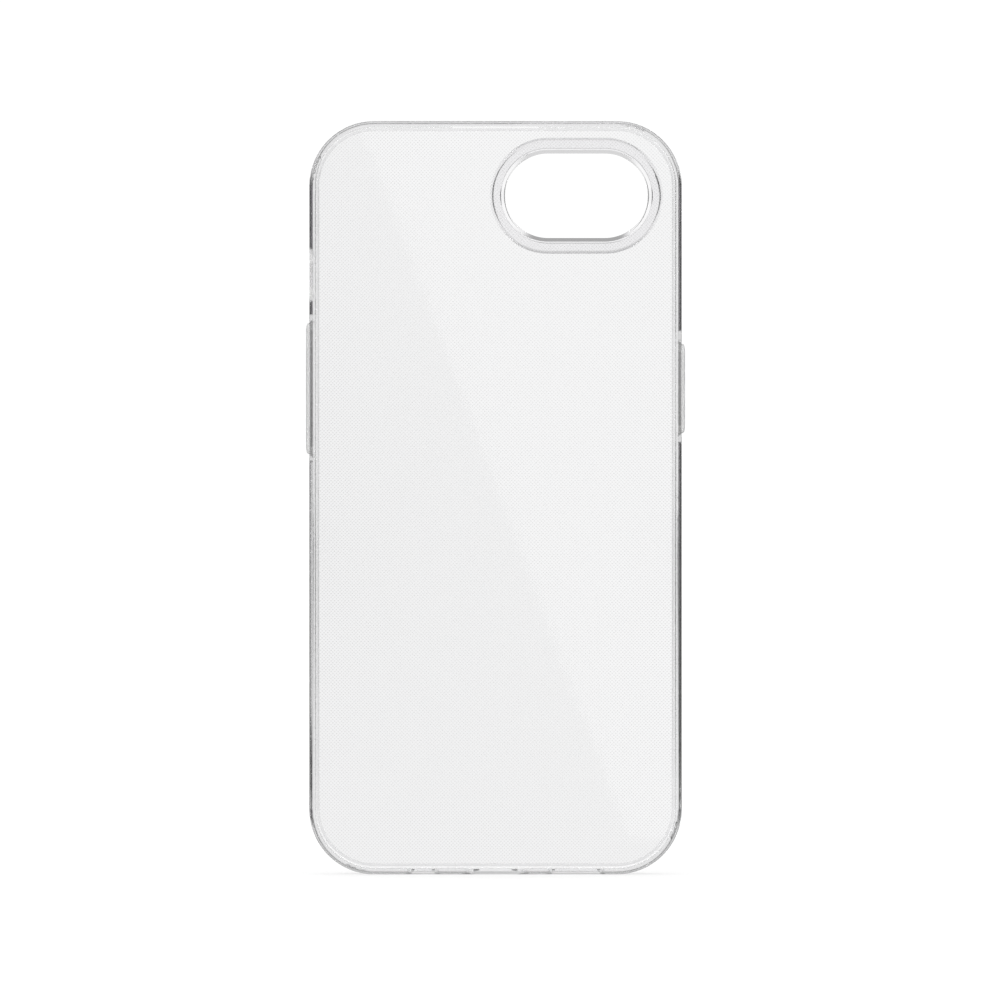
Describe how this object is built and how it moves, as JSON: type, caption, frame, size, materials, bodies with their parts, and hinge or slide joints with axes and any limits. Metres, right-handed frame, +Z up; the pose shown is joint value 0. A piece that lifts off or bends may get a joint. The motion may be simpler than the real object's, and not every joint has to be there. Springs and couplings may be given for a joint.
{
  "type": "phone case",
  "caption": "Clear protective case for a slab phone: hard clear back panel in a soft clear bumper, with a lens guard ring and separate sprung side keys.",
  "frame": {"origin": "middle of the bounding box on the plane that the case stands on, below its bottom edge", "axes": "+Z up along the case's height to its top edge, +X across its width towards the side key, -Y out of its open front, +Y out of its back towards the lens guard's side"},
  "size_m": [0.075, 0.0116, 0.1487],
  "materials": {
    "clear_panel": "clear polished polycarbonate, with a fine lattice of moulded micro dots on the inner face",
    "clear_bumper": "clear glossy thermoplastic polyurethane",
    "clear_guard": "clear glossy thermoplastic polyurethane, polished bevel",
    "clear_key": "clear satin thermoplastic polyurethane",
    "clear_skirt": "thin clear thermoplastic polyurethane web"
  },
  "bodies": {
    "case": {"bumper": "clear_bumper", "back_panel": "clear_panel", "camera_guard": "clear_guard", "volume_key_skirt": "clear_skirt", "side_key_skirt": "clear_skirt"},
    "volume_key": {"volume_key": "clear_key"},
    "side_key": {"side_key": "clear_key"}
  },
  "joints": [
    {"name": "volume_key_rock", "type": "hinge", "parent": "case", "child": "volume_key", "pos_m": [-0.03655, -0.0008, 0.0959], "axis": [0, 1, 0], "range_deg": [-1.4, 1.4], "stiffness_Nm_per_rad": 0.6, "deforming": ["volume_key_skirt"]},
    {"name": "side_key_press", "type": "slide", "parent": "case", "child": "side_key", "axis": [-1, 0, 0], "range_m": [0, 0.00035], "stiffness_N_per_m": 3000, "deforming": ["side_key_skirt"]}
  ]
}
